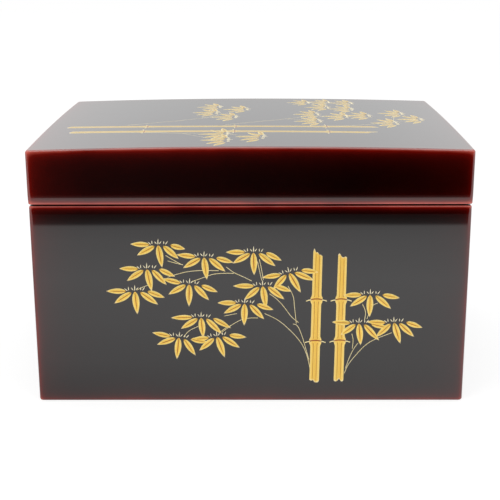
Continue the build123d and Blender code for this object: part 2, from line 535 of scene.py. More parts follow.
@dataclass(frozen=True)
class Plan:
    """A rounded rectangle that loops are offset from."""

    half_length: float
    half_depth: float
    corner_radius: float
    inner_radius: float = 0.8 * MM  # the corner radius of a loop far inside
    least_radius: float = 0.2 * MM
    corner_steps: int = 6
    long_steps: int = 28
    short_steps: int = 22

    def loop(self, inset: float) -> list[tuple[Point, Point]]:
        """Places round a loop, anticlockwise, with the way out at each.

        Args:
            inset: how far the loop lies inside the plan.

        Returns:
            Pairs of a place and a unit direction, as many for every inset.
        """
        least = self.inner_radius if inset > self.corner_radius else self.least_radius
        radius = max(self.corner_radius - inset, least)
        centre_x, centre_y = self.half_length - inset - radius, self.half_depth - inset - radius
        places = []
        for quarter, (sign_x, sign_y) in enumerate(((1, 1), (-1, 1), (-1, -1), (1, -1))):
            for step in range(self.corner_steps + 1):
                angle = math.radians(90 * (quarter + step / self.corner_steps))
                way = (math.cos(angle), math.sin(angle))
                x, y = sign_x * centre_x + radius * way[0], sign_y * centre_y + radius * way[1]
                places.append(((x, y), way))
            span, steps = (2 * centre_y, self.short_steps) if quarter % 2 else (2 * centre_x, self.long_steps)
            for step in range(1, steps):
                run = span * step / steps
                places.append(((x - way[1] * run, y + way[0] * run), way))
        return places


def section_stations(turns: Sequence[Turn], closed: bool = False, arc_steps: int = 5) -> list[Station]:
    """Rounds the corners of a section, and gives each place on it its exact direction.

    Args:
        turns: the corners, in an order that keeps the solid on the left when the inset is measured to
            the right, which is outwards along the underside, up the outer face and in over the rim.
        closed: whether the section is a ring that ends where it starts.
        arc_steps: steps in each rounded corner.

    Returns:
        The stations, two for each straight stretch and some more for each corner.
    """
    slight_bend, slight_steps = math.radians(20), 3
    corners = [Vector((-turn.inset, turn.height)) for turn in turns]
    last = len(turns) - 1
    stations = []
    for index, (turn, here) in enumerate(zip(turns, corners)):
        arrive = (here - corners[index - 1]).normalized() if index or closed else None
        leave = (corners[(index + 1) % len(turns)] - here).normalized() if index < last or closed else None
        if leave is None or arrive is None:
            way = leave or arrive
            stations.append(Station(turn.inset, turn.height, way.y, -way.x, turn.coat, turn.crowned))
            continue
        bend = math.atan2(arrive.x * leave.y - arrive.y * leave.x, arrive.dot(leave))
        radius = math.copysign(turn.radius, bend)
        steps = arc_steps if abs(bend) > slight_bend else slight_steps
        start = here - arrive * turn.radius * math.tan(abs(bend) / 2)
        centre = start + Vector((-arrive.y, arrive.x)) * radius
        for step in range(steps + 1):
            angle = math.atan2(-arrive.x, arrive.y) + bend * step / steps
            normal = Vector((math.cos(angle), math.sin(angle)))
            place = centre + normal * radius
            coat = turn.coat if step == steps else turns[index - 1].coat
            stations.append(Station(-place.x, place.y, normal.x, normal.y, coat, turn.crowned))
    return stations


@dataclass(frozen=True)
class Shell:
    """A closed lacquered skin: a section carried round a rounded rectangle."""

    name: str
    plan: Plan
    turns: tuple[Turn, ...]
    crown: Optional[Crown] = None
    ring: bool = False  # a frame that is open in the middle, with no faces over the centre
    cap_steps: int = 9

    def build(self, materials: Sequence[Material]) -> Object:
        """Makes the shell's object.

        Args:
            materials: one for each coat.

        Returns:
            The object, with exact normals.
        """
        points, normals, loops, faces, slots = [], [], [], [], []
        levels = self._levels()
        for station, scale in levels:
            places = self.plan.loop(station.inset) if scale > 0 else [((0.0, 0.0), (0.0, 0.0))]
            loops.append(range(len(points), len(points) + len(places)))
            for (x, y), (way_x, way_y) in places:
                x, y = x * scale, y * scale
                lift, upwards = 0.0, Vector((0, 0, station.up))
                if station.crowned:
                    lift, upwards = self.crown.rise(x, y), self.crown.normal(x, y) * station.up
                points.append((x, y, station.height + lift))
                outwards = Vector((way_x * station.out, way_y * station.out, 0))
                normals.append((outwards + upwards).normalized())
        following = loops[1:] + (loops[:1] if self.ring else [])
        for one, other, (station, _) in zip(loops, following, levels):
            count = max(len(one), len(other))
            for index in range(count):
                square = ((one, index), (one, index + 1), (other, index + 1), (other, index))
                corners = (loop[place % count % len(loop)] for loop, place in square)
                faces.append(tuple(dict.fromkeys(corners)))  # a triangle where the loop is the middle
                slots.append(int(station.coat))
        mesh = new_mesh(self.name, points, faces=faces)
        mesh.polygons.foreach_set("material_index", slots)
        mesh.normals_split_custom_set_from_vertices(normals)
        for material in materials:
            mesh.materials.append(material)
        mesh.update()
        return new_object(self.name, mesh)

    def _levels(self) -> list[tuple[Station, float]]:
        """The shell's loops in order, with those that fill its middle.

        Returns:
            Each loop's place in the section, and its size about the box's axis, below 1 in the middle.
        """
        stations = section_stations(self.turns, closed=self.ring)
        rim = [(station, 1.0) for station in stations]
        if self.ring:
            return rim
        scales = [1 - step / self.cap_steps for step in range(self.cap_steps, 0, -1)]
        start, end = (replace(station, out=0.0) for station in (stations[0], stations[-1]))
        return [(start, scale) for scale in scales] + rim + [(end, scale) for scale in reversed(scales)]


@dataclass
class LacqueredBody:
    """The body: one skin over its four sides and its bottom, with the lip and the rails inside it."""

    plan_radius: float = 2.0 * MM
    foot_radius: float = 1.3 * MM
    foot_margin: float = 1.0 * MM  # the underside's outermost loop is this far inside the rounded edge
    rim_radius: float = 1.0 * MM
    inner_radius: float = 0.6 * MM
    seat_radius: float = 0.2 * MM  # where the lip and the rails meet the wall
    rail_radius: float = 0.5 * MM
    mouth_radius: float = 0.3 * MM
    rebate_depth: float = 2.4 * MM  # the rim's outer edge is cut back, which leaves a dark seam
    rebate_height: float = 1.0 * MM
    rebate_radius: float = 0.1 * MM
    ease_height: float = 3.6 * MM  # the outer face rolls in a little towards the rim
    ease_depth: float = 0.07 * MM
    ease_radius: float = 90.0 * MM
    floor_margin: float = 4.0 * MM  # the floor's outermost loop is this far inside the wall

    def __post_init__(self) -> None:
        """Reads the body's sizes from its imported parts."""
        self.half_length, self.half_depth, self.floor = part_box("body_bottom_board")[1]
        low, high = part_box("body_front_board")
        self.wall, self.rim = high.y - low.y, high.z
        self.edge = self.rim - self.rebate_height

    def build(self, lacquer: TamenuriLacquer, black: Material) -> list[Object]:
        """Builds the skin, the lip and the rails.

        Args:
            lacquer: the outer finish.
            black: the inner finish.

        Returns:
            The three objects, riding on the body.
        """
        reach = Reach(self.half_length, self.half_depth, low=0.0, high=self.edge, seam=self.edge)
        outer = lacquer.material("tamenuri_lacquer_body", reach)
        plan = Plan(self.half_length, self.half_depth, self.plan_radius)
        skin = Shell("body_lacquer_skin", plan, self._skin_turns()).build((outer, black))
        nodes = (*named("body_{}_board"), "body_bottom_board", "body_corner_keys", "body_bottom_pegs")
        made = [stand_in(skin, "box_body", nodes)]
        seat, soft, rail = self.seat_radius, self.inner_radius, self.rail_radius
        for name, node, radii in (
            ("lip_frame", "lip_{}_board", (seat, soft, soft, seat)),
            ("tray_rails", "rail_{}", (seat, seat, rail, rail)),
        ):
            turns = self._frame_turns(node.format("front"), radii)
            ring = Shell(name, plan, turns, ring=True).build((black, black))
            made.append(stand_in(ring, "box_body", named(node)))
        return made

    def on_front(self, x: float, y: float, height: float) -> Point3:
        """Where a relief on the front lies: so far right, above the ground and out of the face."""
        return x, -self.half_depth - height, y

    def _skin_turns(self) -> tuple[Turn, ...]:
        """The section of the skin, from the middle of the underside to the middle of the floor.

        Returns:
            Its corners.
        """
        inner, step, inside = self.rebate_depth, self.rebate_radius, Coat.INNER
        return (
            Turn(self.foot_radius + self.foot_margin, 0.0),
            Turn(0.0, 0.0, self.foot_radius),
            Turn(0.0, self.edge - self.ease_height, self.ease_radius),
            Turn(self.ease_depth, self.edge, self.rim_radius),
            Turn(inner, self.edge, step, inside),
            Turn(inner, self.rim, step, inside),
            Turn(self.wall, self.rim, self.mouth_radius, inside),
            Turn(self.wall, self.floor, self.inner_radius, inside),
            Turn(self.wall + self.floor_margin, self.floor, 0.0, inside),
        )

    def _frame_turns(self, node: str, radii: Sequence[float]) -> tuple[Turn, ...]:
        """The section of a frame that goes round inside the wall.

        Args:
            node: its front board.
            radii: how rounded its corners are, from its foot at the wall, upwards and round.

        Returns:
            Its corners.
        """
        low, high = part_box(node)
        inner = self.wall + high.y - low.y
        places = ((self.wall, low.z), (self.wall, high.z), (inner, high.z), (inner, low.z))
        return tuple(Turn(inset, height, radius) for (inset, height), radius in zip(places, radii))


@dataclass
class LacqueredLid:
    """The lid: one skin over its four sides and its crowned top, black inside."""

    crown_radius: float = 3430.0 * MM
    plan_radius: float = 2.0 * MM
    edge_radius: float = 1.3 * MM
    rim_radius: float = 0.55 * MM
    drip_depth: float = 1.9 * MM  # the outer edge hangs a little into the body's rebate
    drip_height: float = 0.3 * MM
    drip_radius: float = 0.1 * MM
    inner_radius: float = 0.6 * MM
    ease_height: float = 4.1 * MM
    ease_depth: float = 0.18 * MM
    ease_radius: float = 90.0 * MM
    ceiling_margin: float = 4.0 * MM  # the ceiling's outermost loop is this far inside the wall
    rim_margin: float = 0.2 * MM
    top_margin: float = 0.5 * MM

    def __post_init__(self) -> None:
        """Reads the lid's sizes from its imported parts."""
        low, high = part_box("lid_top_board")
        self.half_length, self.half_depth, self.summit = high
        self.ceiling = low.z
        low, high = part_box("lid_front_board")
        self.rim, self.wall = low.z, high.y - low.y
        self.edge = self.rim - self.drip_height
        self.crown = Crown(self.crown_radius, self.half_length, self.half_depth)
        self.corner_height = self.summit - self.crown.rise(0, 0)

    def build(self, lacquer: TamenuriLacquer, black: Material) -> Object:
        """Builds the lid's skin.

        Args:
            lacquer: the outer finish.
            black: the inner finish.

        Returns:
            The object, riding on the lid.
        """
        reach = Reach(
            self.half_length, self.half_depth, low=self.edge, high=self.summit, seam=self.edge,
            crown=0.5 / self.crown_radius,
        )
        outer = lacquer.material("tamenuri_lacquer_lid", reach)
        plan = Plan(self.half_length, self.half_depth, self.plan_radius)
        skin = Shell("lid_lacquer_skin", plan, self._turns(), self.crown).build((outer, black))
        nodes = (*named("lid_{}_board"), "lid_top_board", "lid_corner_keys", "lid_top_pegs")
        return stand_in(skin, "lid", nodes)

    def on_top(self, x: float, y: float, height: float) -> Point3:
        """Where a relief on the top lies: so far right, back and out of the crown."""
        return x, y, self.corner_height + self.crown.rise(x, y) + height

    def _turns(self) -> tuple[Turn, ...]:
        """The section of the skin, from the middle of the ceiling, round the rim, to the top's middle.

        Returns:
            Its corners.
        """
        drip, inside = self.drip_radius, Coat.INNER
        return (
            Turn(self.wall + self.ceiling_margin, self.ceiling, 0.0, inside),
            Turn(self.wall, self.ceiling, self.inner_radius, inside),
            Turn(self.wall, self.rim, self.inner_radius, inside),
            Turn(self.drip_depth, self.rim, drip, inside),
            Turn(self.drip_depth - drip, self.edge, drip, inside),
            Turn(self.ease_depth + self.rim_radius + self.rim_margin, self.edge),
            Turn(self.ease_depth, self.edge, self.rim_radius),
            Turn(0.0, self.edge + self.ease_height, self.ease_radius),
            Turn(0.0, self.corner_height, self.edge_radius, crowned=True),
            Turn(self.edge_radius + self.top_margin, self.corner_height, crowned=True),
        )


@dataclass
class HangingTray:
    """The tray: one black skin over its walls and its bottom, with a recess underneath."""

    plan_radius: float = 1.5 * MM
    edge_radius: float = 0.6 * MM
    cove_radius: float = 1.2 * MM
    foot_radius: float = 0.4 * MM
    recess_radius: float = 0.3 * MM
    floor_margin: float = 4.0 * MM  # the floor's outermost loop is this far inside the wall

    def build(self, black: Material) -> Object:
        """Builds the tray's skin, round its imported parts.

        Args:
            black: its finish.

        Returns:
            The object, riding on the tray.
        """
        low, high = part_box("tray_front_wall")
        board_low, board_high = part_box("tray_bottom_board")
        wall = high.y - low.y
        plan = Plan(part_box("tray_right_wall")[1].x, -low.y, self.plan_radius)
        turns = (
            Turn(wall + self.floor_margin, board_low.z),
            Turn(wall, board_low.z, self.recess_radius),
            Turn(wall, low.z, self.foot_radius),
            Turn(0.0, low.z, self.edge_radius),
            Turn(0.0, high.z, self.edge_radius),
            Turn(wall, high.z, self.edge_radius),
            Turn(wall, board_high.z, self.cove_radius),
            Turn(wall + self.floor_margin, board_high.z),
        )
        skin = Shell("tray_lacquer_skin", plan, turns).build((black, black))
        nodes = (*named("tray_{}_wall"), "tray_bottom_board", "tray_corner_keys")
        return stand_in(skin, "tray", nodes)


# ---- Bamboo in gold relief ----


@dataclass(frozen=True)
class Leaf:
    """A leaf, or a stroke of a twig: where it starts and ends in its spray, how broad it is, and its rib."""

    base: Point
    tip: Point
    breadth: float
    rib: float = 1.0


@dataclass(frozen=True)
class Spray:
    """A spray of five leaves under three forked twigs. It hangs down, turned by some degrees."""

    x: float
    y: float
    turn: float = 0.0
    swing: tuple[float, ...] = (0, 0, 0, 0, 0)  # degrees by which each leaf turns about its own root
    reach: tuple[float, ...] = (1, 1, 1, 1, 1)  # how much longer each leaf is than the rule's
    size: float = 1.0

    def strokes(self, gather: float) -> Iterable[tuple[Leaf, float, float]]:
        """The leaves and the strokes of the twigs.

        Args:
            gather: degrees by which the outer leaves close towards the middle one.

        Returns:
            Each stroke, with its swing and its reach.
        """
        gathers = (gather, gather / 2, 0.0, -gather / 2, -gather)
        for leaf, closer, swing, reach in zip(SPRAY_LEAVES, gathers, self.swing, self.reach):
            yield leaf, closer + swing, reach
        for stroke in TWIG_STROKES:
            yield stroke, 0.0, 1.0


# The five leaves of a spray that hangs down, in millimetres from the root of the middle one
SPRAY_LEAVES = (
    Leaf((-4.0, 0.0), (-13.8, 0.4), 2.95),
    Leaf((-1.5, -0.6), (-10.2, -6.3), 3.3),
    Leaf((0.0, 0.0), (1.4, -12.0), 3.7),
    Leaf((2.5, -0.5), (10.5, -7.9), 3.3),
    Leaf((6.0, -0.2), (14.6, -3.2), 2.95),
)
# The strokes of a spray's three forked twigs, over the roots of its leaves
TWIG_STROKES = (
    Leaf((-3.5, 0.1), (-5.0, 1.5), 0.52, 0.0),
    Leaf((-2.9, 0.3), (-3.0, 2.3), 0.52, 0.0),
    Leaf((-0.6, 0.4), (-1.8, 1.8), 0.5, 0.0),
    Leaf((0.0, 0.0), (0.1, 3.2), 0.56, 0.0),
    Leaf((0.6, 0.4), (1.8, 1.9), 0.5, 0.0),
    Leaf((2.9, 0.3), (2.9, 2.0), 0.52, 0.0),
    Leaf((3.6, 0.1), (5.0, 2.0), 0.52, 0.0),
)


@dataclass(frozen=True)
class Line:
    """A thin branch through some places, or a joint's thread."""

    places: Sequence[Point]
    width: float


@dataclass(frozen=True)
class Culm:
    """A cane of bamboo, cut off at both ends, split lengthwise into three strips, with joints across.

    Its ends are drawn by how far each place across it stops short: pairs of a place from -1 to 1, and
    a distance.
    """

    foot: Point
    length: float
    joints: tuple[float, ...]  # heights above the foot
    half_width: float
    top: tuple[Point, ...]
    base: tuple[Point, ...]
    turn: float = 0.0
    lean: float = 0.0  # how far the top stands to one side
    bow: float = 0.0  # how far the middle stands to one side
    narrowing: float = 0.08  # how much narrower the top is than the foot
    swelling: float = 0.26  # how much wider it is at a joint
    end_run: float = 5.0  # the ends' outline is drawn over this length
    end_dome: float = 0.7  # the relief rises over this length at the ends
    pale_run: float = 1.6  # how far the pale ends reach
    arch: float = 0.55  # how much higher a joint is in the middle than at the rim
    arch_run: float = 1.4
    ring: float = 0.25  # half the width of the dark ring of a joint
    ring_depth: float = 0.08  # how much narrower the culm is there
    collar: float = 0.8  # how far the full width reaches to both sides of a joint
    collar_run: float = 1.1

    def placed(self, across: float, up: float) -> Point:
        """Takes a place from the culm's own axes to the face.

        Args:
            across: how far right of its middle line.
            up: how far above its foot.

        Returns:
            The place on the face.
        """
        share = up / self.length
        aside = self.lean * share + self.bow * 4 * share * (1 - share)
        x, y = turned((across + aside, up), self.turn)
        return self.foot[0] + x, self.foot[1] + y

    def threads(self) -> Iterable[Line]:
        """The fine lines that run out to both sides of each joint.

        Returns:
            Two lines for each joint.
        """
        for joint, side in product(self.joints, (-1, 1)):
            places = [self.placed(side * (self.half_width + x), joint + y) for x, y in JOINT_THREAD]
            yield Line(places, THREAD_WIDTH)

    def levels(self) -> list[float]:
        """The heights of its grid's rows, closer together at its ends and joints.

        Returns:
            The heights above the foot, in order.
        """
        ends = (0.0, 0.25, 0.7, 1.4, self.end_run)
        round_joint = (0.2, 0.42, 0.65, 0.95, 1.25, 1.7, 2.4, 3.2)
        even_steps = 14
        levels = {self.length * step / even_steps for step in range(1, even_steps)}
        levels |= {*ends, *(self.length - run for run in ends)}
        levels |= {joint + side * step for joint, side, step in product(self.joints, (-1, 1), round_joint)}
        return sorted(levels)

    def spot(self, share: float, level: float) -> tuple[Point, float, float]:
        """One place on the culm.

        Args:
            share: the place across it, from -1 to 1.
            level: the height of its row above the foot.

        Returns:
            The place on the face, how high the relief stands there from 0 to about 1, and what is
            drawn: 1 for a dark line, and below 0 for a pale end.
        """
        away = min(abs(level - joint) for joint in self.joints)
        from_top, from_end = self.length - level, min(level, self.length - level)
        on_ring, side = away < self.ring, abs(share)
        swell = self.swelling * math.exp(-((max(0.0, away - self.collar) / self.collar_run) ** 2))
        width = 1 + swell - (self.ring_depth if on_ring else 0.0)
        width *= self.half_width * (1 - self.narrowing * level / self.length)
        up = level + self.arch * (1 - share * share) * math.exp(-((away / self.arch_run) ** 2))
        up += max(0.0, 1 - level / self.end_run) * between(self.base, share)
        up -= max(0.0, 1 - from_top / self.end_run) * between(self.top, share)
        dome = math.sqrt(max(0.0, 1 - side**3)) * min(1.0, from_end / self.end_dome) ** 0.5
        groove = 1 - GROOVE_DEPTH * math.exp(-(((side - STRIP_EDGE) / GROOVE_WIDTH) ** 2))
        raised = 0.7 if on_ring else 1.2 if away < 1.3 else 1.0  # a joint is a dip between two low collars
        # The dark line round the rim is partly drawn and partly a painted shadow where the relief meets the
        # lacquer
        outlined = side == 1.0 or (side == STRIP_EDGE and away > 1.2)
        drawn = 1.0 if on_ring else 0.8 if outlined else 0.0
        drawn -= max(0.0, 1 - from_end / self.pale_run)
        return self.placed(share * width, up), dome * groove * raised, drawn


# Where the grooves between a culm's three strips lie, from its middle line at 0 to its rim at 1
STRIP_EDGE = 0.35
GROOVE_WIDTH = 0.08
GROOVE_DEPTH = 0.35  # as a share of the relief
# The places across a culm at which its grid has columns
CULM_SHARES = sorted(
    {side * share for side in (-1, 1) for share in (0.0, 0.14, 0.56, 0.75, 0.92, 1.0)}
    | {side * STRIP_EDGE + offset for side in (-1, 1) for offset in (-0.11, 0.0, 0.11)}
)
# A joint's thread, in millimetres out from the culm's rim and up from the joint
JOINT_THREAD = ((0.15, -0.05), (1.4, -0.25), (2.6, -0.7))
THREAD_WIDTH = 0.58


def between(stops: Sequence[Point], place: float) -> float:
    """The value at a place between stops, with straight runs between them.

    Args:
        stops: pairs of a place and its value, in order.
        place: where the value is wanted.

    Returns:
        The value.
    """
    for (start, low), (end, high) in zip(stops, stops[1:]):
        if place <= end:
            return low + (high - low) * max(0.0, (place - start) / (end - start))
    return stops[-1][1]


def turned(place: Point, degrees: float) -> Point:
    """Turns a place about the origin, anticlockwise.

    Args:
        place: the place.
        degrees: how far.

    Returns:
        The turned place.
    """
    angle = math.radians(degrees)
    x, y = place
    return x * math.cos(angle) - y * math.sin(angle), x * math.sin(angle) + y * math.cos(angle)


class GrowthTree:
    """A geometry tree with named sizes, which turns points or chains of edges into finished relief."""

    def __init__(self, name: str, sizes: dict[str, float]) -> None:
        """Makes the tree, with nothing in it but its inputs.

        Args:
            name: what it grows.
            sizes: its named inputs, and the values that they have if none is given.
        """
        self.tree = bpy.data.node_groups.new(name, "GeometryNodeTree")
        self.add = partial(add_node, self.tree)
        for way in ("INPUT", "OUTPUT"):
            self.tree.interface.new_socket("Geometry", in_out=way, socket_type="NodeSocketGeometry")
        for size, value in sizes.items():
            socket = self.tree.interface.new_socket(size, in_out="INPUT", socket_type="NodeSocketFloat")
            socket.default_value = value
        self.given = self.add("GroupInput").outputs

    def finish(self, grown: Node, material: Material) -> "GrowthTree":
        """Ends the tree: makes its instances real, and gives them their material.

        Args:
            grown: the node that gives the relief.
            material: its gold.

        Returns:
            The tree itself.
        """
        smooth = self.add("SetShadeSmooth", {0: self.add("RealizeInstances", {"Geometry": grown})})
        self.add("GroupOutput", {0: self.add("SetMaterial", {"Geometry": smooth, "Material": material})})
        return self

    def run(self, name: str, mesh: Mesh, sizes: dict[str, float]) -> Object:
        """Runs the tree on a mesh, and keeps the result as a plain object.

        Args:
            name: the new object's name.
            mesh: the points or chains.
            sizes: values for its named inputs.

        Returns:
            The plain object, with its own attributes and material.
        """
        source = new_object(f"{name}_source", mesh)
        modifier = source.modifiers.new("grow", "NODES")
        modifier.node_group = self.tree
        for item in self.tree.interface.items_tree:
            if item.name in sizes:
                modifier[item.identifier] = sizes[item.name]
        graph = bpy.context.evaluated_depsgraph_get()
        grown = source.evaluated_get(graph)
        plain = bpy.data.meshes.new_from_object(grown, preserve_all_data_layers=True, depsgraph=graph)
        plain.name = name
        bpy.data.objects.remove(source)
        bpy.data.meshes.remove(mesh)
        return new_object(name, plain)


def leaf_tree(material: Material) -> GrowthTree:
    """Makes the tree that sets a domed leaf on each point.

    A point carries "turn" (radians), "reach" and "breadth" (metres) and "shade". The leaf is a grid
    whose width follows the product of two powers, narrow and round at its root and long at its tip.

    Args:
        material: the gold of the leaves.

    Returns:
        The tree.
    """
    sizes = {"Relief": 0.26 * MM, "Root power": 0.75, "Tip power": 1.05, "Width scale": 3.395}
    growth = GrowthTree("bamboo_leaves", sizes)
    add = growth.add
    rows, columns = 9, 7
    grid = add("MeshGrid", {"Size X": 1.0, "Size Y": 1.0, "Vertices X": rows, "Vertices Y": columns})
    known = {axis.name: axis for axis in add("SeparateXYZ", {0: add("InputPosition")}).outputs}
    known |= {size: growth.given[size] for size in sizes}
    # Each sum has its name, its operation and its terms, which are numbers or names known by then
    for name, operation, *terms in (
        # The grid's rows run along the leaf, and its columns across, closer together at the rim
        ("along", "ADD", "X", 0.5), ("even", "MULTIPLY", "Y", 2.0), ("sign", "SIGN", "even"),
        ("size", "ABSOLUTE", "even"), ("size", "POWER", "size", 0.6), ("across", "MULTIPLY", "size", "sign"),
        # The outline
        ("left", "SUBTRACT", 1.0, "along"), ("root", "POWER", "along", "Root power"),
        ("tip", "POWER", "left", "Tip power"), ("shape", "MULTIPLY", "root", "tip"),
        ("shape", "MULTIPLY", "shape", "Width scale"), ("side", "MULTIPLY", "across", 0.5),
        ("side", "MULTIPLY", "side", "shape"),
        # The relief, which is nearly flat in the middle and falls off at the rim
        ("steep", "POWER", "size", 4.0), ("dome", "SUBTRACT", 1.0, "steep"), ("rise", "POWER", "shape", 0.4),
        ("height", "MULTIPLY", "dome", "rise"), ("height", "MULTIPLY", "height", "Relief"),
    ):
        inputs = {index: known.get(term, term) for index, term in enumerate(terms)}
        clamped = name in ("along", "left", "dome")
        known[name] = add("Math", inputs, operation=operation, use_clamp=clamped)
    marked = grid
    for name in ("along", "across"):
        stored = {"Geometry": marked, "Name": name, "Value": known[name]}
        marked = add("StoreNamedAttribute", stored, data_type="FLOAT", domain="POINT")
    halves = []
    for height in (known["height"], 0.0):
        place = add("CombineXYZ", {"X": known["along"], "Y": known["side"], "Z": height})
        halves.append(add("SetPosition", {"Geometry": marked, "Position": place}))
    both = add("JoinGeometry", {"Geometry": halves[0]})
    growth.tree.links.new(add("FlipFaces", {"Mesh": halves[1]}).outputs[0], both.inputs[0])
    leaf = add("MergeByDistance", {"Geometry": both, "Distance": 1e-6})
    turn, reach, breadth = (
        add("InputNamedAttribute", {"Name": name}, data_type="FLOAT") for name in ("turn", "reach", "breadth")
    )
    rotation, scale = add("CombineXYZ", {"Z": turn}), add("CombineXYZ", {"X": reach, "Y": breadth, "Z": 1.0})
    placing = {"Points": growth.given["Geometry"], "Instance": leaf, "Rotation": rotation, "Scale": scale}
    return growth.finish(add("InstanceOnPoints", placing), material)


def line_tree(material: Material) -> GrowthTree:
    """Makes the tree that draws a thin raised line along each chain of edges.

    Args:
        material: the gold of the lines.

    Returns:
        The tree. A point carries the line's "width".
    """
    growth = GrowthTree("bamboo_branches", {"Flatness": 0.5, "Step": 1.2 * MM})
    add = growth.add
    chains = add("MeshToCurve", {"Mesh": growth.given["Geometry"]})
    smooth = add("CurveSplineType", {"Curve": chains}, spline_type="CATMULL_ROM")
    even = add("ResampleCurve", {"Curve": smooth, "Length": growth.given["Step"]}, mode="LENGTH")
    width = add("InputNamedAttribute", {"Name": "width"}, data_type="FLOAT")
    radius = add("Math", {0: width, 1: 0.5}, operation="MULTIPLY")
    sides = 6
    section = add("CurvePrimitiveCircle", {"Resolution": sides, "Radius": 1.0})
    drawn = {"Curve": even, "Profile Curve": section, "Scale": radius, "Fill Caps": True}
    flat = add("CombineXYZ", {"X": 1.0, "Y": 1.0, "Z": growth.given["Flatness"]})
    return growth.finish(add("Transform", {"Geometry": add("CurveToMesh", drawn), "Scale": flat}), material)


@dataclass
class BambooGrove:
    """Bamboo drawn in gold on one face: culms, branches and sprays, in millimetres on that face."""

    name: str
    body: str
    surface: Callable[[float, float, float], Point3]
    hang: float  # how far a spray is turned from hanging along -Y, in degrees
    sprays: Sequence[Spray]
    culms: Sequence[Culm]
    branches: Sequence[Line]
    gold: SprinkledGold
    sink: float = 0.02  # how far the relief is let into the lacquer
    gather: float = 0.0  # degrees by which the outer leaves of a spray close towards the middle one
    leaf_relief: float = 0.24
    line_flatness: float = 0.5
    culm_relief: float = 0.07  # the leaves stand higher, and lie over the culms
    rib_shades: Pair = (0.7, 1.0)  # how dark the drawn lines of a leaf are, at least and at most
    seed: int = 7

    def build(self) -> list[Object]:
        """Builds the leaves, the culms and the branches, and lays them on the face.

        Returns:
            The three objects, riding on the grove's body.
        """
        made = [self._leaves(), self._culms(), self._lines()]
        for piece in made:
            for vertex in piece.data.vertices:
                x, y, height = vertex.co
                vertex.co = self.surface(x, y, height - self.sink * MM)
            piece.data.update()
            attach(piece, self.body)
        return made

    def _leaves(self) -> Object:
        """Makes the leaves and twigs of every spray.

        Returns:
            The object, still flat.
        """
        chance = random.Random(self.seed)
        points, values = [], {"turn": [], "reach": [], "breadth": [], "shade": []}
        for spray in self.sprays:
            hang, size = self.hang + spray.turn, spray.size * MM
            for leaf, swing, reach in spray.strokes(self.gather):
                x, y = turned(leaf.base, hang)
                run = turned((leaf.tip[0] - leaf.base[0], leaf.tip[1] - leaf.base[1]), hang + swing)
                points.append((spray.x * MM + x * size, spray.y * MM + y * size, 0.0))
                values["turn"].append(math.atan2(run[1], run[0]))
                values["reach"].append(math.hypot(*run) * reach * size)
                values["breadth"].append(leaf.breadth * size)
                values["shade"].append(leaf.rib * chance.uniform(*self.rib_shades))
        growth = leaf_tree(self.gold.material(GoldWork.LEAF))
        mesh = new_mesh(f"{self.name}_points", points, **values)
        return growth.run(f"{self.name}_bamboo_leaves", mesh, {"Relief": self.leaf_relief * MM})

    def _lines(self) -> Object:
        """Makes the branches, and the threads that mark the culms' joints.

        Returns:
            The object, still flat.
        """
        points, edges, widths = [], [], []
        for line in (*self.branches, *(thread for culm in self.culms for thread in culm.threads())):
            first, count = len(points), len(line.places)
            points += [(x * MM, y * MM, 0.0) for x, y in line.places]
            edges += [(index, index + 1) for index in range(first, first + count - 1)]
            widths += [line.width * MM] * count
        growth = line_tree(self.gold.material(GoldWork.LINE))
        mesh = new_mesh(f"{self.name}_chains", points, edges, width=widths)
        return growth.run(f"{self.name}_bamboo_branches", mesh, {"Flatness": self.line_flatness})

    def _culms(self) -> Object:
        """Makes the culms, each a grid along and across it that is closed by a flat underside.

        Returns:
            The object, still flat.
        """
        points, faces, values = [], [], {"across": [], "along": [], "shade": []}
        for culm in self.culms:
            levels = culm.levels()
            first, row, rows = len(points), len(CULM_SHARES), len(levels)
            for level, share in product(levels, CULM_SHARES):
                (x, y), height, drawn = culm.spot(share, level)
                points.append((x * MM, y * MM, height * self.culm_relief * MM))
                for name, value in (("across", share), ("along", drawn), ("shade", 1.0)):
                    values[name].append(value)
            under = {}  # the underside shares the points round the rim
            for number, column in product(range(rows), range(row)):
                index = first + number * row + column
                if 0 < number < rows - 1 and 0 < column < row - 1:
                    x, y, _ = points[index]
                    index = len(points)
                    points.append((x, y, 0.0))
                    for column_values in values.values():
                        column_values.append(0.0)
                under[number, column] = index
            for number, column in product(range(rows - 1), range(row - 1)):
                corner = first + number * row + column
                faces.append((corner, corner + 1, corner + row + 1, corner + row))
                square = ((0, 0), (1, 0), (1, 1), (0, 1))
                faces.append(tuple(under[number + up, column + aside] for up, aside in square))
        name = f"{self.name}_bamboo_culms"
        mesh = new_mesh(name, points, faces=faces, **values)
        mesh.materials.append(self.gold.material(GoldWork.CULM))
        return new_object(name, mesh)


